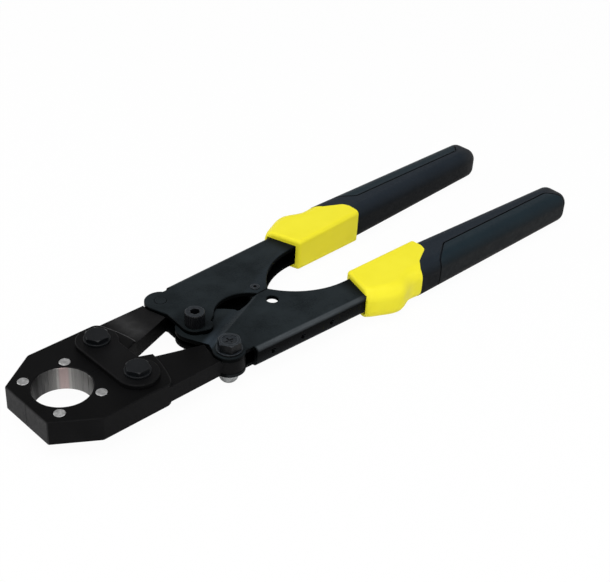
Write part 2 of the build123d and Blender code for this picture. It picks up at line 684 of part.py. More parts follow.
def grip_section(along, inset):
    """The grip's cross-section at a distance along it, all its sides moved in by the inset."""
    share = (along - GRIP_START) / (GRIP_END - GRIP_START)
    outer = GRIP_FRONT_OUTER + share * (GRIP_END_OUTER - GRIP_FRONT_OUTER) - inset
    inner = GRIP_FRONT_INNER + share * (GRIP_END_INNER - GRIP_FRONT_INNER) + inset
    half_height = GRIP_FRONT_HALF_HEIGHT + share * (GRIP_END_HALF_HEIGHT - GRIP_FRONT_HALF_HEIGHT) - inset
    section = RectangleRounded(outer - inner, 2 * half_height, GRIP_CORNER_RADIUS - inset)
    return Pos(along, 0, 0) * (Plane.YZ * (Pos((outer + inner) / 2, 0) * section))


def grip_shape(inset, start, end):
    return loft([grip_section(start, inset), grip_section(end, inset)], ruled=True)


def grip_outside():
    bar = grip_shape(0, GRIP_START, GRIP_END)
    return fillet(bar.edges().group_by(Axis.X)[-1], GRIP_END_ROUND)


def grip_neck(clearance):
    """The front of the grip, which goes inside the collar."""
    return grip_shape(GRIP_NECK_INSET - clearance, GRIP_START - clearance, GRIP_START + GRIP_NECK_LENGTH)


def lever_room(clearance):
    """The space the full-width channel takes in the collar."""
    inner = LUG_RADIUS - ARM_WIDTH - clearance
    outer = LUG_RADIUS + clearance
    end = NECK_AT + clearance
    plan = outline(on_arm(0, inner), on_arm(end, inner), on_arm(end, outer), on_arm(0, outer))
    half_height = LEVER_HALF_HEIGHT + clearance
    return slab(plan, -half_height, half_height)


def tang_room(clearance):
    half_height = LEVER_HALF_HEIGHT + clearance
    return slab(tang_plan(clearance), -half_height, half_height)


def collar():
    sleeve = COLLAR * (collar_outside() - grip_neck(GRIP_FIT))
    return sleeve - lever_room(COLLAR_FIT) - tang_room(COLLAR_FIT)


def inlay_plan(margin):
    """The inlay's outline seen from above, grown by the margin."""
    corners = [(GRIP_START + along, out) for along, out in INLAY_FRONT]
    corners += [(GRIP_END + along, out) for along, out in INLAY_BACK]
    plan = outline((corners[0][0], FAR), *corners, (corners[-1][0], FAR))
    plan = fillet(nearest_corners(plan, *corners), INLAY_CORNER_RADIUS)
    if margin > 0:
        plan = offset(plan, margin)
    return plan


def grip():
    behind_collar = slab(offset(collar_plan(), GRIP_FIT), -FAR, FAR)
    body = grip_outside() - behind_collar
    body += grip_neck(0)
    inlay_room = slab(inlay_plan(INLAY_GROOVE), -FAR, FAR) - grip_shape(INLAY_DEPTH, GRIP_START, GRIP_END)
    return COLLAR * (body - inlay_room) - tang_room(COLLAR_FIT)


def grip_inlay():
    shell = grip_outside() - grip_shape(INLAY_DEPTH - GRIP_FIT, GRIP_START, GRIP_END)
    return COLLAR * (shell & slab(inlay_plan(0), -FAR, FAR))


def left(part):
    return mirror(part, about=Plane.XZ)


right_half_jaw = jaw()
right_pins = die_pins()
top_plate = top_link_plate()
right_collar = collar()
right_grip = grip()
right_inlay = grip_inlay()

nodes = {
    "right_jaw": right_half_jaw,
    "left_jaw": left(right_half_jaw),
    "right_die_pins": right_pins,
    "left_die_pins": left(right_pins),
    "top_link_plate": top_plate,
    "bottom_link_plate": mirror(top_plate, about=Plane.XY),
    "link_bolts": link_bolts(),
    "link_washers": link_washers(),
    "link_nuts": link_nuts(),
    "right_lever": right_lever(),
    "left_lever": left(left_lever()),
    "centre_bolt": centre_bolt(),
    "centre_washer": centre_washer(),
    "centre_nut": centre_nut(),
    "right_tail_pin": right_tail_pin(),
    "left_tail_bolt": left(left_tail_bolt()),
    "left_tail_washer": left(left_tail_washer()),
    "left_tail_nut": left(left_tail_nut()),
    "right_lever_rivet": right_lever_rivet(),
    "right_lever_spacer": right_lever_spacer(),
    "right_collar": right_collar,
    "left_collar": left(right_collar),
    "right_grip": right_grip,
    "left_grip": left(right_grip),
    "right_grip_inlay": right_inlay,
    "left_grip_inlay": left(right_inlay),
}

os.makedirs("parts", exist_ok=True)
for name, part in nodes.items():
    export_step(part, f"parts/{name}.step")
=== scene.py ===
import bpy
import json
import math
from mathutils import Matrix, Vector


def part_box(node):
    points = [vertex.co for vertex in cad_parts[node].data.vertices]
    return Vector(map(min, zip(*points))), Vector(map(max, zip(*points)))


# PEX crimp tool: camera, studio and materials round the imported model. Metres, in the model's own frame.
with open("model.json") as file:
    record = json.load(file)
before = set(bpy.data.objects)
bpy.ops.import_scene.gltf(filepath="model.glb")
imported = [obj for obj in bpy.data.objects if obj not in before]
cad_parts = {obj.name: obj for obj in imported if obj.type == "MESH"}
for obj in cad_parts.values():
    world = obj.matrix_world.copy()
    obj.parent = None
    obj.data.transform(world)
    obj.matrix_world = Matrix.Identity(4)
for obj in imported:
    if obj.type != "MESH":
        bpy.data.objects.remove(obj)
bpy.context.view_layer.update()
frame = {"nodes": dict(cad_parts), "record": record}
MM = 0.001


# Sizes and places that the frame gives

def upright_axis(node):
    """Where an upright bolt's axis crosses the tool's middle plane."""
    low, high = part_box(node)
    return Vector(((low.x + high.x) / 2, (low.y + high.y) / 2, 0.0))


MOUNTS = {mount["name"]: mount for mount in frame["record"]["mounts"]}
BORE_CENTRE = Vector(MOUNTS["crimp_die"]["pos_m"])
BORE_RADIUS = MOUNTS["crimp_die"]["dims"]["r_mm"] * MM
CENTRE_PIVOT = upright_axis("centre_bolt")
LEFT_TAIL_PIVOT = upright_axis("left_tail_bolt")
JAW_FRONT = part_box("right_jaw")[0].x
JAW_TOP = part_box("right_jaw")[1].z
LEVER_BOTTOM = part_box("right_lever")[0].z
GRIP_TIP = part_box("right_grip")[1].x
NUT_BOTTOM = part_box("centre_nut")[0].z


# Camera, at the photograph's viewing angle

IMAGE_WIDTH = 610
IMAGE_HEIGHT = 582
FOCAL_PIXELS = 1201.5
OPTICAL_CENTRE = (287.8, 288.3)
AZIMUTH = math.radians(-45.09)
ELEVATION = math.radians(34.06)
ROLL = math.radians(3.16)
TARGET = Vector((141.67, -7.68, 6.7)) * MM
DISTANCE = 654.85 * MM
SENSOR_WIDTH = 36.0
CLIP_START = 0.01
CLIP_END = 50.0


def make_camera():
    """A camera that looks at the target, rolled and shifted as the photograph is."""
    back = Vector((math.sin(AZIMUTH) * math.cos(ELEVATION),
                   -math.cos(AZIMUTH) * math.cos(ELEVATION),
                   math.sin(ELEVATION)))
    level_right = Vector((math.cos(AZIMUTH), math.sin(AZIMUTH), 0.0))
    level_up = back.cross(level_right)
    right = level_right * math.cos(ROLL) + level_up * math.sin(ROLL)
    up = level_up * math.cos(ROLL) - level_right * math.sin(ROLL)
    data = bpy.data.cameras.new("camera")
    data.sensor_width = SENSOR_WIDTH
    data.lens = FOCAL_PIXELS * SENSOR_WIDTH / IMAGE_WIDTH
    data.shift_x = (IMAGE_WIDTH / 2 - OPTICAL_CENTRE[0]) / IMAGE_WIDTH
    data.shift_y = (OPTICAL_CENTRE[1] - IMAGE_HEIGHT / 2) / IMAGE_WIDTH
    data.clip_start = CLIP_START
    data.clip_end = CLIP_END
    camera = bpy.data.objects.new("camera", data)
    turn = Matrix((right, up, back)).transposed().to_4x4()
    camera.matrix_world = Matrix.Translation(TARGET + back * DISTANCE) @ turn
    bpy.context.scene.collection.objects.link(camera)
    bpy.context.scene.camera = camera


# Node helpers. A pair of values, here and below, is where a share starts and where it is full.

NOISE_RANGE = (0.3, 0.7)
LEVEL_RANGE = (0.7, 0.95)
BEVEL_SAMPLES = 6
BLACK = (0.0, 0.0, 0.0)
WHITE = (1.0, 1.0, 1.0, 1.0)


class Nodes:
    """A node tree under construction. Its methods add nodes, and most return an output."""

    def __init__(self, tree):
        self.tree = tree

    def add(self, kind):
        return self.tree.nodes.new(kind)

    def join(self, value, socket):
        """Links an output to the socket, or sets the socket to a plain value."""
        if isinstance(value, bpy.types.NodeSocket):
            self.tree.links.new(value, socket)
        else:
            socket.default_value = value

    def math(self, operation, first, second=0.0):
        node = self.add("ShaderNodeMath")
        node.operation = operation
        self.join(first, node.inputs[0])
        self.join(second, node.inputs[1])
        return node.outputs[0]

    def product(self, first, *others):
        for other in others:
            first = self.math("MULTIPLY", first, other)
        return first

    def vector_math(self, operation, first, second=(0.0, 0.0, 0.0)):
        node = self.add("ShaderNodeVectorMath")
        node.operation = operation
        self.join(first, node.inputs[0])
        self.join(second, node.inputs[1])
        return node.outputs["Value"] if operation in ("DOT_PRODUCT", "LENGTH") else node.outputs["Vector"]

    def axis(self, vector, name):
        """One axis of a vector: X, Y or Z."""
        node = self.add("ShaderNodeSeparateXYZ")
        self.join(vector, node.inputs[0])
        return node.outputs[name]

    def spread(self, value, low, high, to_low=0.0, to_high=1.0, smooth=False):
        """The value's range from low to high, spread from to_low to to_high and held beyond it."""
        node = self.add("ShaderNodeMapRange")
        node.interpolation_type = "SMOOTHSTEP" if smooth else "LINEAR"
        self.join(value, node.inputs["Value"])
        node.inputs["From Min"].default_value = low
        node.inputs["From Max"].default_value = high
        node.inputs["To Min"].default_value = to_low
        node.inputs["To Max"].default_value = to_high
        return node.outputs["Result"]


class Shader(Nodes):
    """A material under construction. Its tone, roughness and bumped normal join the surface at the end."""

    def __init__(self, name):
        self.material = bpy.data.materials.new(name)
        self.material.use_nodes = True
        super().__init__(self.material.node_tree)
        self.surface = self.tree.nodes["Principled BSDF"]
        self.position = self.add("ShaderNodeTexCoord").outputs["Object"]
        self.normal = self.add("ShaderNodeNewGeometry").outputs["Normal"]
        self.tone = None
        self.rough = None
        self.bumped = None

    def place(self, name):
        """How far along X, Y or Z the surface lies."""
        return self.axis(self.position, name)

    def facing(self, name):
        """How far the surface looks along X, Y or Z, from -1 to 1."""
        return self.axis(self.normal, name)

    def flatness(self):
        """1 on faces that look straight up or down and 0 on upright ones."""
        return self.math("ABSOLUTE", self.facing("Z"))

    def level_faces(self, share=1.0):
        """That share on level faces and 0 on upright ones."""
        return self.spread(self.flatness(), *LEVEL_RANGE, 0.0, share)

    def stretch(self, factors):
        """Object position with each axis scaled, for grain that runs one way."""
        return self.vector_math("MULTIPLY", self.position, factors)

    def reach(self, point):
        """Distance from the upright line through a point of the middle plane."""
        level = self.stretch((1.0, 1.0, 0.0))
        return self.vector_math("LENGTH", self.vector_math("SUBTRACT", level, point))

    def along(self, direction, start):
        """Distance from the start along a direction, times that direction's length."""
        from_start = self.vector_math("SUBTRACT", self.position, start)
        return self.vector_math("DOT_PRODUCT", from_start, direction)

    def noise(self, size, detail=3, roughness=0.55, vector=None):
        """Soft noise from 0 to 1 with features of about that size in metres."""
        node = self.add("ShaderNodeTexNoise")
        self.join(self.position if vector is None else vector, node.inputs["Vector"])
        node.inputs["Scale"].default_value = 1 / size
        node.inputs["Detail"].default_value = detail
        node.inputs["Roughness"].default_value = roughness
        return node.outputs["Fac"]

    def patches(self, noise, low=0.0, high=1.0):
        """The usual range of a noise, spread from low to high."""
        return self.spread(noise, *NOISE_RANGE, low, high)

    def mix(self, share, first, second):
        """Mixes two colours, each given as an output or as three numbers."""
        node = self.add("ShaderNodeMix")
        node.data_type = "RGBA"
        self.join(share, node.inputs["Factor"])
        for value, socket in ((first, node.inputs["A"]), (second, node.inputs["B"])):
            self.join((*value, 1.0) if isinstance(value, tuple) else value, socket)
        return node.outputs["Result"]

    def blend(self, share, colour):
        """Mixes that share of a colour into the tone."""
        self.tone = self.mix(share, self.tone, colour)

    def darken(self, share):
        self.blend(share, BLACK)

    def rounded(self, width):
        """The surface direction as if sharp edges were rounded off over that width."""
        bevel = self.add("ShaderNodeBevel")
        bevel.samples = BEVEL_SAMPLES
        bevel.inputs["Radius"].default_value = width
        return bevel.outputs["Normal"]

    def edges(self, width, low, high):
        """1 along sharp edges and 0 on open faces."""
        return self.spread(self.vector_math("DOT_PRODUCT", self.rounded(width), self.normal), high, low)

    def bump(self, height, depth, below=None):
        node = self.add("ShaderNodeBump")
        node.inputs["Strength"].default_value = 1.0
        node.inputs["Distance"].default_value = depth
        self.join(height, node.inputs["Height"])
        if below is not None:
            self.join(below, node.inputs["Normal"])
        return node.outputs["Normal"]

    def finish(self, **sockets):
        """Joins the surface's sockets, with _ for a space in the names of those given here."""
        self.join(self.tone, self.surface.inputs["Base Color"])
        self.join(self.rough, self.surface.inputs["Roughness"])
        self.join(self.bumped, self.surface.inputs["Normal"])
        for name, value in sockets.items():
            self.join(value, self.surface.inputs[name.replace("_", " ")])
        return self.material


# Black steel, which the jaws, plates, levers and fasteners share

RUBBED_LIT_STEEL = (0.035, 0.035, 0.037)
CLOUD_SIZE = 18.0 * MM
CLOUD_DARK = 0.72
CLOUD_LIGHT = 1.3
CLOUD_ROUGHNESS = 0.05
GRAIN_RANGE = (0.25, 0.75)
GRAIN_ROUGHNESS = 0.07
RUB_SIZE = 2.5 * MM
RUB_RANGE = (0.35, 0.65)
LEAST_WEAR = 0.25
WORN_WIDTH = 0.5 * MM
WORN_RANGE = (0.97, 0.999)
EDGE_ROUND = 0.4 * MM
SIDE_RANGE = (0.6, 0.86)
INWARD_RANGE = (-0.5, -0.8)


def coated_steel(name, colour, worn_lit_colour, roughness, grain, depth, wear, side_shade):
    """Blackened steel: cloudy colour, painted shade on the upright sides, a fine grain, and edges rubbed
    lighter that also stand in for painted edge highlights.
    """
    shader = Shader(name)
    cloud = shader.noise(CLOUD_SIZE, detail=4)
    fine = shader.noise(grain, detail=2)
    rub = shader.noise(RUB_SIZE, detail=5, roughness=0.65)
    dark = tuple(CLOUD_DARK * part for part in colour)
    light = tuple(CLOUD_LIGHT * part for part in colour)
    shader.tone = shader.mix(shader.patches(cloud), dark, light)
    # Painted shade: upright faces are darkened by the side_shade share.
    shader.darken(shader.spread(shader.flatness(), *SIDE_RANGE, side_shade, 0.0))
    # Edges rubbed lighter, which also serve as a painted highlight along the edges.
    worn_and_lit = shader.spread(rub, *RUB_RANGE, LEAST_WEAR * wear, wear)
    shader.blend(shader.product(shader.edges(WORN_WIDTH, *WORN_RANGE), worn_and_lit), worn_lit_colour)
    rough = shader.spread(fine, *GRAIN_RANGE, roughness - GRAIN_ROUGHNESS, roughness + GRAIN_ROUGHNESS)
    shader.rough = shader.math("ADD", rough, shader.patches(cloud, -CLOUD_ROUGHNESS, CLOUD_ROUGHNESS))
    shader.bumped = shader.bump(fine, depth, shader.rounded(EDGE_ROUND))
    return shader


def inward_faces(shader, share):
    """That share on upright faces that look at the tool's middle plane: painted shade on the jaws, and
    rougher paint on the levers.
    """
    outward = shader.product(shader.facing("Y"), shader.math("SIGN", shader.place("Y")))
    return shader.spread(outward, *INWARD_RANGE, 0.0, share)


# Jaws and link plates

JAW_BLACK = (0.0034, 0.0034, 0.0037)
JAW_GLOSS = 0.05
JAW_TOP_SHADE = 0.45
JAW_INWARD_SHADE = 0.9

# Where light is painted on the jaws: the lit front face, a highlight along the rounded rear edge and a
# pool of light on the right tail
JAW_PAINTED_LIGHT = (0.09, 0.09, 0.092)
JAW_PATCH_SIZE = 3.0 * MM
JAW_PATCHES = (0.45, 0.75)
FRONT_PLACE = (JAW_FRONT + 0.6 * MM, JAW_FRONT)
FRONT_SHARE = 0.45
JAW_BACK = 49.8 * MM
JAW_BACK_RADIUS = 70.0 * MM
REAR_EDGE_REACH = (JAW_BACK_RADIUS - 0.9 * MM, JAW_BACK_RADIUS - 0.6 * MM)
REAR_EDGE_HEIGHT = (JAW_TOP - 0.7 * MM, JAW_TOP - 0.3 * MM)
REAR_EDGE_SIDES = (-5.0 * MM, 5.0 * MM)
REAR_EDGE_SHARES = (0.15, 1.3)
TAIL_START = 50.5 * MM
TAIL_PLACE = (TAIL_START - 6.0 * MM, TAIL_START + 6.0 * MM)
TAIL_SIDE = (6.0 * MM, 14.0 * MM)
TAIL_SHARE = 0.4
TAIL_FADE = (TAIL_START + 5.0 * MM, TAIL_START + 16.0 * MM)
TAIL_FADED = 0.2

# The bore: which ways its painted reflection, glint and shade face, and their colours
BORE_EDGE = (BORE_RADIUS + 0.12 * MM, BORE_RADIUS + 0.06 * MM)
BORE_REFLECTION_SIDE = Vector((0.87, 0.5, 0.0))
BORE_GLINT_SIDE = Vector((0.60, 0.80, 0.0))
BORE_LIT_SIDE = Vector((0.72, 0.69, 0.0))
BORE_METAL = (0.325, 0.32, 0.31)
BORE_DULL = (0.06, 0.06, 0.061)
BORE_PALE = (0.48, 0.465, 0.45)
BORE_GLINT = (0.54, 0.415, 0.405)
BORE_SHADE = (0.012, 0.012, 0.012)
BORE_ROUGHNESS = (0.24, 0.4)
REFLECTION_RANGE = (0.3, 0.9)
SHOULDER_RISE = (0.964, 0.976)
SHOULDER_FALL = (0.992, 0.98)
SHOULDER_SHARE = 0.6
GLINT_RANGE = (0.98, 0.995)
GLINT_SHARE = 0.75
BORE_SHADE_RANGE = (0.5, 0.38)
BORE_SHADE_SHARE = 0.9
BORE_STRETCH = (1.0, 1.0, 0.04)
BROAD_STREAK = 7.0 * MM
BROAD_RANGE = (0.38, 0.62)
BROAD_SHARES = (0.45, 1.0)
NARROW_STREAK = 0.6 * MM
NARROW_SHARE = 0.14


def jaw_painted_light(shader):
    """How far light is painted on the jaws: on the lit front face, as a highlight along the rounded rear
    edge and as a pool of light on the right tail, broken into patches.
    """
    front = shader.spread(shader.place("X"), *FRONT_PLACE, 0.0, FRONT_SHARE)
    back_centre = Vector((JAW_BACK - JAW_BACK_RADIUS, 0.0, 0.0))
    rear_edge = shader.product(
        shader.spread(shader.reach(back_centre), *REAR_EDGE_REACH),
        shader.spread(shader.place("Z"), *REAR_EDGE_HEIGHT),
        shader.spread(shader.place("Y"), *REAR_EDGE_SIDES, *REAR_EDGE_SHARES))
    tail = shader.product(
        shader.spread(shader.place("X"), *TAIL_PLACE, smooth=True),
        shader.spread(shader.place("Y"), *TAIL_SIDE, 0.0, TAIL_SHARE),
        shader.level_faces(),
        shader.spread(shader.place("X"), *TAIL_FADE, 1.0, TAIL_FADED, smooth=True))
    patchiness = shader.patches(shader.noise(JAW_PATCH_SIZE, detail=4, roughness=0.6), *JAW_PATCHES)
    return shader.product(shader.math("MAXIMUM", front, shader.math("MAXIMUM", rear_edge, tail)), patchiness)


def bore_side(shader, direction):
    """1 where the bore's wall lies that way or opposite, and 0 half way between."""
    return shader.math("ABSOLUTE", shader.along(direction / BORE_RADIUS, BORE_CENTRE))


def bore_metal(shader):
    """Colour and roughness of the machined bore: streaks along its axis, a painted reflection on the walls
    that lie one way, a painted glint with pale edges, and painted shade on two sides.
    """
    streaks = shader.stretch(BORE_STRETCH)
    broad = shader.noise(BROAD_STREAK, detail=1, roughness=0.5, vector=streaks)
    narrow = shader.noise(NARROW_STREAK, detail=3, roughness=0.6, vector=streaks)
    # Painted reflection: walls that lie along one direction are brighter.
    reflection = shader.spread(bore_side(shader, BORE_REFLECTION_SIDE), *REFLECTION_RANGE, smooth=True)
    band = shader.product(reflection, shader.spread(broad, *BROAD_RANGE, *BROAD_SHARES))
    band = shader.math("ADD", band, shader.patches(narrow, -NARROW_SHARE, NARROW_SHARE))
    metal = shader.mix(band, BORE_DULL, BORE_METAL)
    glint_side = bore_side(shader, BORE_GLINT_SIDE)
    # Painted highlight: pale edges beside the glint.
    shoulder = shader.product(
        shader.spread(glint_side, *SHOULDER_RISE),
        shader.spread(glint_side, *SHOULDER_FALL, 0.0, SHOULDER_SHARE))
    metal = shader.mix(shoulder, metal, BORE_PALE)
    # Painted glint.
    glint = shader.spread(glint_side, *GLINT_RANGE, 0.0, GLINT_SHARE, smooth=True)
    metal = shader.mix(glint, metal, BORE_GLINT)
    # Painted shade on the bore's two sides.
    lit_side = bore_side(shader, BORE_LIT_SIDE)
    painted_shade = shader.spread(lit_side, *BORE_SHADE_RANGE, 0.0, BORE_SHADE_SHARE, smooth=True)
    metal = shader.mix(painted_shade, metal, BORE_SHADE)
    return metal, shader.patches(narrow, *BORE_ROUGHNESS)


def jaw_material():
    """Black jaws with painted shade on their tops and inward faces and painted light in places, whose bore
    is machined bright with a painted reflection, glint and shade.
    """
    shader = coated_steel("jaw_black", JAW_BLACK, RUBBED_LIT_STEEL, roughness=0.5, grain=0.7 * MM,
                          depth=0.03 * MM, wear=0.25, side_shade=0.0)
    # Painted shade: level faces darkened.
    shader.darken(shader.level_faces(JAW_TOP_SHADE))
    # Painted shade on the inward faces, which face the other jaw.
    shader.darken(inward_faces(shader, JAW_INWARD_SHADE))
    # Painted light on the front face, along the rear edge and on the right tail.
    shader.blend(jaw_painted_light(shader), JAW_PAINTED_LIGHT)
    in_bore = shader.spread(shader.reach(BORE_CENTRE), *BORE_EDGE)
    metal, metal_rough = bore_metal(shader)
    shader.blend(in_bore, metal)
    black_rough = shader.product(shader.rough, shader.math("SUBTRACT", 1.0, in_bore))
    shader.rough = shader.math("ADD", black_rough, shader.product(metal_rough, in_bore))
    return shader.finish(Metallic=in_bore, Specular_IOR_Level=JAW_GLOSS)


def plate_material():
    shader = coated_steel("plate_black", JAW_BLACK, RUBBED_LIT_STEEL, roughness=0.48, grain=0.6 * MM,
                          depth=0.025 * MM, wear=0.12, side_shade=0.3)
    return shader.finish(Specular_IOR_Level=JAW_GLOSS)


# Levers

LEVER_BLACK = (0.0143, 0.0184, 0.0207)
LEVER_RUBBED_LIT = (0.03, 0.033, 0.036)
LEVER_BEND_HIGHLIGHT = (0.06, 0.068, 0.074)
LEVER_LOW_WEB = (0.015, 0.017, 0.0185)
LEVER_JOGGLE_HIGHLIGHT = (0.028, 0.037, 0.046)
LEVER_GLOSS = 0.02
INWARD_ROUGHNESS = 0.6
ARM_TILT = math.radians(2.2)
WEB_OUT = 8.7 * MM
WEB_START = 11.5 * MM
BEHIND_LUG = (WEB_START, WEB_START + 1.0 * MM)
BEND_RADIUS = 3.3 * MM
BEND_PLACE = (WEB_OUT - BEND_RADIUS, WEB_OUT - 0.6 * BEND_RADIUS)
BEND_FOOT = (0.15, 0.6)
BEND_TOP = (0.99, 0.9)
UPRIGHT_RANGE = (0.5, 0.15)
ARM_STRETCH = (0.12, 1.0, 1.0)
STREAK_SIZE = 2.0 * MM
STREAK_SHARES = (0.6, 1.0)
LOW_WEB_PLACE = (1.0 * MM, LEVER_BOTTOM)

# Darker places: round the centre screw and on the left lever's head end, with painted shade inside the
# channels and a painted shadow where the levers enter the collars
CENTRE_DARK_RING = (16.0 * MM, 9.6 * MM)
CENTRE_DARK_SHARE = 0.4
HEAD_END = (118.0 * MM, 92.0 * MM)
HEAD_END_SHADE = 0.25
LEFT_SIDE = (0.0, -2.0 * MM)
CHANNEL_SHADE = 0.92
CHANNEL_HEIGHT = (0.5 * MM, -0.5 * MM)
CHANNEL_FACING = (0.3, 0.7)
COLLAR_AT = 90.6 * MM
BEFORE_COLLAR = (COLLAR_AT - 9.0 * MM, COLLAR_AT)
COLLAR_SHADE = 0.7

# The left lever's joggle, measured from the centre pivot
JOGGLE_LEAN = math.radians(22.8)
JOGGLE_FOOT = 12.8 * MM
JOGGLE_TOP = JOGGLE_FOOT + 4.8 * MM
JOGGLE_BELOW = (JOGGLE_FOOT - 4.5 * MM, JOGGLE_FOOT - 1.0 * MM)
JOGGLE_ABOVE = (JOGGLE_TOP + 1.0 * MM, JOGGLE_TOP - 1.5 * MM)
JOGGLE_FADE = (8.0 * MM, -8.0 * MM)
JOGGLE_SHARES = (0.25, 0.9)
JOGGLE_FLATNESS = (0.6, 0.85)


def channel_floor(shader):
    """1 on the faces inside the channels that look up from below the middle."""
    below = shader.spread(shader.place("Z"), *CHANNEL_HEIGHT)
    return shader.product(below, shader.spread(shader.facing("Z"), *CHANNEL_FACING))


def pivot_darkening(shader):
    """How far the levers are darkened: round the centre screw, and on the left lever's head end."""
    ring = shader.spread(shader.reach(CENTRE_PIVOT), *CENTRE_DARK_RING, 0.0, CENTRE_DARK_SHARE, smooth=True)
    left = shader.spread(shader.place("Y"), *LEFT_SIDE)
    head_end = shader.spread(shader.place("X"), *HEAD_END, 0.0, HEAD_END_SHADE, smooth=True)
    return shader.math("MAXIMUM", ring, shader.product(left, head_end))


def joggle_highlight(shader):
    """How far a highlight is painted on and below the left lever's joggle, fading away along the ramp."""
    uphill = Vector((math.sin(JOGGLE_LEAN), -math.cos(JOGGLE_LEAN), 0.0))
    sideways = Vector((math.cos(JOGGLE_LEAN), math.sin(JOGGLE_LEAN), 0.0))
    climb = shader.along(uphill, CENTRE_PIVOT)
    return shader.product(
        shader.spread(climb, *JOGGLE_BELOW, smooth=True),
        shader.spread(climb, *JOGGLE_ABOVE, smooth=True),
        shader.spread(shader.along(sideways, CENTRE_PIVOT), *JOGGLE_FADE, *JOGGLE_SHARES, smooth=True),
        shader.spread(shader.flatness(), *JOGGLE_FLATNESS))


def lever_material():
    """Black paint with painted shade on the webs, in the channels and before the collars, painted
    highlights along the channels' outer bends and on the joggle, lighter low on the webs and darker round
    the centre screw.
    """
    shader = coated_steel("lever_black", LEVER_BLACK, LEVER_RUBBED_LIT, roughness=0.3, grain=0.9 * MM,
                          depth=0.008 * MM, wear=0.06, side_shade=0.9)
    shader.darken(pivot_darkening(shader))
    along_arm = shader.math("SUBTRACT", shader.place("X"), LEFT_TAIL_PIVOT.x)
    out = shader.math("SUBTRACT", shader.math("ABSOLUTE", shader.place("Y")), abs(LEFT_TAIL_PIVOT.y))
    out = shader.math("SUBTRACT", out, shader.product(along_arm, math.tan(ARM_TILT)))
    outside = shader.spread(out, *BEND_PLACE)
    streaks = shader.noise(STREAK_SIZE, vector=shader.stretch(ARM_STRETCH))
    streaks = shader.patches(streaks, *STREAK_SHARES)
    flatness = shader.flatness()
    curved = shader.product(shader.spread(flatness, *BEND_FOOT), shader.spread(flatness, *BEND_TOP))
    behind_lug = shader.spread(along_arm, *BEHIND_LUG)
    # Painted highlight along the channels' outer bends, broken into streaks.
    shader.blend(shader.product(outside, curved, behind_lug, streaks), LEVER_BEND_HIGHLIGHT)
    low = shader.spread(shader.place("Z"), *LOW_WEB_PLACE)
    upright = shader.spread(flatness, *UPRIGHT_RANGE)
    # Lighter low on the outer webs.
    shader.blend(shader.product(low, upright, outside, streaks), LEVER_LOW_WEB)
    # Painted highlight on the joggle.
    shader.blend(joggle_highlight(shader), LEVER_JOGGLE_HIGHLIGHT)
    # Painted shade inside the channels.
    shader.darken(shader.product(channel_floor(shader), CHANNEL_SHADE))
    # Painted shadow where the levers enter the collars.
    shader.darken(shader.spread(along_arm, *BEFORE_COLLAR, 0.0, COLLAR_SHADE, smooth=True))
    shader.rough = shader.math("ADD", shader.rough, inward_faces(shader, INWARD_ROUGHNESS))
    return shader.finish(Specular_IOR_Level=LEVER_GLOSS)


# Black fasteners

FASTENER_BLACK = (0.004, 0.0048, 0.006)
FASTENER_GLOSS = 0.14
PIVOT_PLACE = (65.0 * MM, 70.0 * MM)
PIVOT_HIGHLIGHT = (0.055, 0.066, 0.078)
PIVOT_PATCH_SIZE = 1.5 * MM
PIVOT_PATCHES = (0.5, 1.0)
HEAD_SHARE = 0.28
SOCKET_EDGE = (3.2 * MM, 4.0 * MM)
RIM_WIDTH = 0.8 * MM
RIM_RANGE = (0.94, 0.995)


def fastener_material():
    """Black bolts and washers, with painted highlights on the pivots' heads, on top and along their rims.
    """
    shader = coated_steel("fastener_black", FASTENER_BLACK, RUBBED_LIT_STEEL, roughness=0.36, grain=0.5 * MM,
                          depth=0.02 * MM, wear=0.25, side_shade=0.3)
    # Painted highlights on the pivot heads' tops and rims.
    pivots = shader.spread(shader.place("X"), *PIVOT_PLACE)
    from_axis = shader.math("MINIMUM", shader.reach(LEFT_TAIL_PIVOT), shader.reach(CENTRE_PIVOT))
    outside_socket = shader.spread(from_axis, *SOCKET_EDGE)
    rim = shader.product(shader.edges(RIM_WIDTH, *RIM_RANGE), outside_socket)
    highlight = shader.product(shader.math("MAXIMUM", rim, HEAD_SHARE), shader.level_faces(), pivots)
    patchiness = shader.patches(shader.noise(PIVOT_PATCH_SIZE, roughness=0.6), *PIVOT_PATCHES)
    shader.blend(shader.product(highlight, patchiness), PIVOT_HIGHLIGHT)
    return shader.finish(Specular_IOR_Level=FASTENER_GLOSS)


# Bright metal: the dowel pins and the dome nut

PIN_STEEL = (0.62, 0.62, 0.62)
ZINC = (0.42, 0.43, 0.43)
SPOT_SIZE = 1.6 * MM
SPOT_RANGE = (0.35, 0.65)
SPOT_SHADE = 0.6
SCRATCH_STRETCH = (1.0, 0.15, 1.0)
SCRATCH_POLISH = 0.08
SCRATCH_DULLING = 0.1
BARE_EDGE = (0.8, 0.8, 0.8)
BARE_EDGE_WIDTH = 0.35 * MM
BARE_EDGE_RANGE = (0.96, 0.999)
BARE_EDGE_SHARE = 0.5


def bright_material(name, colour, roughness, grain, depth):
    """Bare or plated metal with fine scratches and a few dull spots."""
    shader = Shader(name)
    spots = shader.noise(SPOT_SIZE, detail=4, roughness=0.6)
    scratches = shader.noise(grain, detail=2, roughness=0.6, vector=shader.stretch(SCRATCH_STRETCH))
    dull = tuple(SPOT_SHADE * part for part in colour)
    shader.tone = shader.mix(shader.spread(spots, *SPOT_RANGE), dull, colour)
    edge = shader.edges(BARE_EDGE_WIDTH, *BARE_EDGE_RANGE)
    shader.blend(shader.product(edge, BARE_EDGE_SHARE), BARE_EDGE)
    shader.rough = shader.patches(scratches, roughness - SCRATCH_POLISH, roughness + SCRATCH_DULLING)
    shader.bumped = shader.bump(scratches, depth)
    return shader.finish(Metallic=1.0)


# Plastic and rubber

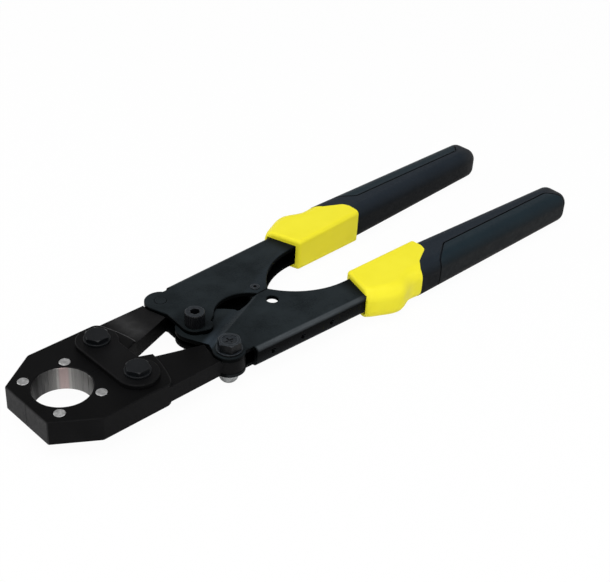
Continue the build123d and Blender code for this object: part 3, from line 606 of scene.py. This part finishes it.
YELLOW = (0.83, 0.745, 0.03)
YELLOW_SHADE = (0.79, 0.705, 0.022)
YELLOW_EDGE = (0.86, 0.78, 0.05)
COLLAR_GLOSS = 0.14
GRIP_BLACK = (0.013, 0.0182, 0.0248)
GRIP_BLACK_SHADE = (0.0106, 0.0152, 0.0214)
GRIP_EDGE = (0.02, 0.022, 0.024)
GRIP_GLOSS = 0.06
GRIP_SHEEN = 0.01
GRIP_SCUFFED = (0.03, 0.03, 0.031)
GRIP_SCUFF_SIZE = 3.0 * MM
GRIP_SCUFFS = (0.5, 1.0)
TIP_SCUFFS = (GRIP_TIP - 16.9 * MM, GRIP_TIP - 0.9 * MM)
INLAY_BLACK = (0.0094, 0.0186, 0.025)
INLAY_BLACK_SHADE = (0.0077, 0.0155, 0.0214)
INLAY_EDGE = (0.014, 0.018, 0.022)
INLAY_SHEEN = 0.03
RUBBER_SIDE_RANGE = (0.9, -0.1)
RUBBER_SIDE_SHADE = 0.9
FLOW_SIZE = 22.0 * MM
COARSE_GRAIN = 4
GRAIN_POLISH = 0.06
GRAIN_DULLING = 0.08
POLISHED_WIDTH = 0.8 * MM
POLISHED_RANGE = (0.95, 0.999)
EDGE_POLISH = 0.08


def moulded(name, colour, shade, edge_colour, edge_share, roughness, grain, depth):
    """Moulded plastic or rubber: faint flow marks, a spark-eroded grain and slightly polished edges."""
    shader = Shader(name)
    flow = shader.noise(FLOW_SIZE, detail=3, roughness=0.5)
    fine = shader.noise(grain, detail=2, roughness=0.5)
    coarse = shader.noise(COARSE_GRAIN * grain, detail=3, roughness=0.5)
    shader.tone = shader.mix(shader.patches(flow), shade, colour)
    edge = shader.edges(POLISHED_WIDTH, *POLISHED_RANGE)
    shader.blend(shader.product(edge, edge_share), edge_colour)
    rough = shader.patches(coarse, roughness - GRAIN_POLISH, roughness + GRAIN_DULLING)
    shader.rough = shader.math("SUBTRACT", rough, shader.product(edge, EDGE_POLISH))
    shader.bumped = shader.bump(coarse, depth, shader.bump(fine, depth))
    return shader


def rubber_sides(shader):
    """How far the rubber's faces that don't look up are darkened: painted shade."""
    return shader.spread(shader.facing("Z"), *RUBBER_SIDE_RANGE, 0.0, RUBBER_SIDE_SHADE)


def collar_material():
    shader = moulded("yellow_plastic", YELLOW, YELLOW_SHADE, YELLOW_EDGE, edge_share=0.5,
                     roughness=0.45, grain=0.5 * MM, depth=0.02 * MM)
    return shader.finish(Specular_IOR_Level=COLLAR_GLOSS)


def grip_material():
    """Dark rubber with painted shade on its sides, scuffed grey towards the tips."""
    shader = moulded("grip_rubber", GRIP_BLACK, GRIP_BLACK_SHADE, GRIP_EDGE, edge_share=0.4,
                     roughness=0.55, grain=0.45 * MM, depth=0.03 * MM)
    # Painted shade on the sides.
    shader.darken(rubber_sides(shader))
    near_tip = shader.spread(shader.place("X"), *TIP_SCUFFS, smooth=True)
    patchiness = shader.patches(shader.noise(GRIP_SCUFF_SIZE, detail=4, roughness=0.6), *GRIP_SCUFFS)
    shader.blend(shader.product(near_tip, patchiness), GRIP_SCUFFED)
    return shader.finish(Specular_IOR_Level=GRIP_GLOSS, Sheen_Weight=GRIP_SHEEN)


def inlay_material():
    shader = moulded("inlay_rubber", INLAY_BLACK, INLAY_BLACK_SHADE, INLAY_EDGE, edge_share=0.4,
                     roughness=0.5, grain=0.6 * MM, depth=0.035 * MM)
    # Painted shade on the sides.
    shader.darken(rubber_sides(shader))
    return shader.finish(Specular_IOR_Level=GRIP_GLOSS, Sheen_Weight=INLAY_SHEEN)


# Each node's material, by the slot that the record gives it

materials = {
    "jaw_steel": jaw_material(),
    "plate_steel": plate_material(),
    "lever_steel": lever_material(),
    "black_fastener": fastener_material(),
    "bright_pin": bright_material(
        "ground_steel", PIN_STEEL, roughness=0.42, grain=0.35 * MM, depth=0.01 * MM),
    "zinc_nut": bright_material(
        "zinc_plate", ZINC, roughness=0.24, grain=0.5 * MM, depth=0.006 * MM),
    "yellow_plastic": collar_material(),
    "grip_rubber": grip_material(),
    "inlay_rubber": inlay_material(),
}
for subpart in frame["record"]["subparts"]:
    node = frame["nodes"][subpart["node"]]
    node.data.materials.clear()
    node.data.materials.append(materials[subpart["material_slot"]])


# Floor and light

FLOOR_SIZE = 30.0
NUT_REST = Vector((CENTRE_PIVOT.x, 0.0, NUT_BOTTOM))
GRIP_REST = Vector((343.0, 0.0, -10.0)) * MM
FLOOR_COLOUR = (0.82, 0.82, 0.82, 1.0)
FLOOR_GLOW = 0.965
FLOOR_REFLECTED_GLOW = 0.2
WORLD_LIGHT = 0.58
WALL_TOP = 0.2
CEILING_START = 0.6
CEILING_LEVEL = 0.25


def white_share(nodes, seen, mirrored):
    """How white the background is: one share where the camera sees it, another where it is mirrored."""
    path = nodes.add("ShaderNodeLightPath")
    straight = nodes.product(path.outputs["Is Camera Ray"], seen)
    glossy = nodes.product(path.outputs["Is Glossy Ray"], mirrored)
    through = nodes.product(path.outputs["Is Transmission Ray"], mirrored)
    return nodes.math("MAXIMUM", straight, nodes.math("MAXIMUM", glossy, through))


def floor_material():
    """Pale and matt, and close to white where the camera sees it, with the tool's shadow kept."""
    material = bpy.data.materials.new("floor")
    material.use_nodes = True
    nodes = Nodes(material.node_tree)
    nodes.tree.nodes.clear()
    diffuse = nodes.add("ShaderNodeBsdfDiffuse")
    diffuse.inputs["Color"].default_value = FLOOR_COLOUR
    glow = nodes.add("ShaderNodeEmission")
    glow.inputs["Color"].default_value = WHITE
    mix = nodes.add("ShaderNodeMixShader")
    nodes.join(white_share(nodes, FLOOR_GLOW, FLOOR_REFLECTED_GLOW), mix.inputs["Fac"])
    nodes.join(diffuse.outputs[0], mix.inputs[1])
    nodes.join(glow.outputs[0], mix.inputs[2])
    nodes.join(mix.outputs[0], nodes.add("ShaderNodeOutputMaterial").inputs["Surface"])
    return material


def make_floor():
    """A plane under the nuts and the grips' ends, which the tool lies on."""
    along = (GRIP_REST - NUT_REST).normalized() * FLOOR_SIZE / 2
    across = Vector((0.0, FLOOR_SIZE / 2, 0.0))
    corners = [NUT_REST + along * x + across * y for x, y in ((-1, -1), (1, -1), (1, 1), (-1, 1))]
    mesh = bpy.data.meshes.new("floor")
    mesh.from_pydata(corners, [], [(0, 1, 2, 3)])
    mesh.materials.append(floor_material())
    floor = bpy.data.objects.new("floor", mesh)
    bpy.context.scene.collection.objects.link(floor)


def make_world():
    """A white surround and a dim ceiling, at full level where they show and dimmer as light."""
    world = bpy.data.worlds.new("studio")
    bpy.context.scene.world = world
    world.use_nodes = True
    nodes = Nodes(world.node_tree)
    background = nodes.tree.nodes["Background"]
    background.inputs["Color"].default_value = WHITE
    level = nodes.spread(white_share(nodes, 1.0, 1.0), 0.0, 1.0, WORLD_LIGHT, 1.0)
    height = nodes.axis(nodes.add("ShaderNodeTexCoord").outputs["Generated"], "Z")
    ceiling = nodes.spread(height, WALL_TOP, CEILING_START, 1.0, CEILING_LEVEL, smooth=True)
    nodes.join(nodes.product(level, ceiling), background.inputs["Strength"])


def make_softbox(name, direction, distance, size, watts):
    """A soft square lamp that faces the camera's target."""
    data = bpy.data.lights.new(name, "AREA")
    data.shape = "SQUARE"
    data.size = size
    data.energy = watts
    lamp = bpy.data.objects.new(name, data)
    toward = Vector(direction).normalized()
    turn = toward.to_track_quat("Z", "Y").to_matrix().to_4x4()
    lamp.matrix_world = Matrix.Translation(TARGET + toward * distance) @ turn
    bpy.context.scene.collection.objects.link(lamp)


make_camera()
make_floor()
make_world()
make_softbox("top_softbox", direction=(-0.25, -0.1, 1.0), distance=1.2, size=1.0, watts=12.6)
make_softbox("back_softbox", direction=(-0.7, 1.0, 0.5), distance=1.0, size=0.5, watts=2.2)
make_softbox("right_softbox", direction=(0.562, -0.614, 0.555), distance=1.02, size=0.4, watts=1.3)
make_softbox("fill_softbox", direction=(-0.6, -1.0, 0.5), distance=1.0, size=0.5, watts=2.2)
bpy.context.scene.view_settings.view_transform = "Standard"
